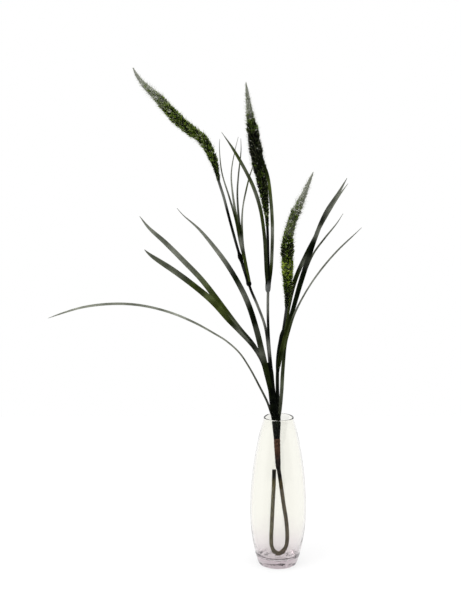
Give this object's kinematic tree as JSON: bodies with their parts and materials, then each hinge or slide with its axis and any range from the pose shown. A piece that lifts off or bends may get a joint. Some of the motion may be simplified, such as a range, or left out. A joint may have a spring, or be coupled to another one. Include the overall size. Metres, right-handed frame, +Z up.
{
  "type": "cattail stems in a vase",
  "caption": "Bristly cattail-like seed spikes and slender green blades on a looped wire stem, standing in a tall clear barrel-shaped glass vase.",
  "frame": {"origin": "centre of the flat underside of the vase, on the surface it stands on", "axes": "+Z up along the vase's axis, -Y towards the front of the arrangement as pictured, +X to the right as seen from the front"},
  "size_m": [0.4848, 0.1312, 0.8085],
  "materials": {
    "glass": "gloss",
    "thick_wire": "satin",
    "thin_wire": "satin",
    "tape": "matte",
    "seeds": "matte",
    "blade": "satin",
    "sleeve": "satin"
  },
  "bodies": {
    "root": {"vase": "glass", "main_stem": "thick_wire", "binding_tape": "tape", "stem_left": "thin_wire", "stem_middle": "thin_wire", "stem_right": "thin_wire", "spike_left": "seeds", "spike_middle": "seeds", "spike_right": "seeds", "sleeve_left": "sleeve", "sleeve_middle": "sleeve", "sleeve_right": "sleeve", "sheath": "sleeve", "blade_arching": "blade", "blade_wide_high": "blade", "blade_wide_low": "blade", "blade_straight": "blade", "blade_right_low": "blade", "blade_right_front": "blade", "blade_right_back": "blade", "blade_right_side": "blade", "blade_middle_left": "blade", "blade_middle_right": "blade", "blade_left_first": "blade", "blade_left_second": "blade", "blade_left_third": "blade", "blade_left_fourth": "blade"}
  },
  "joints": []
}
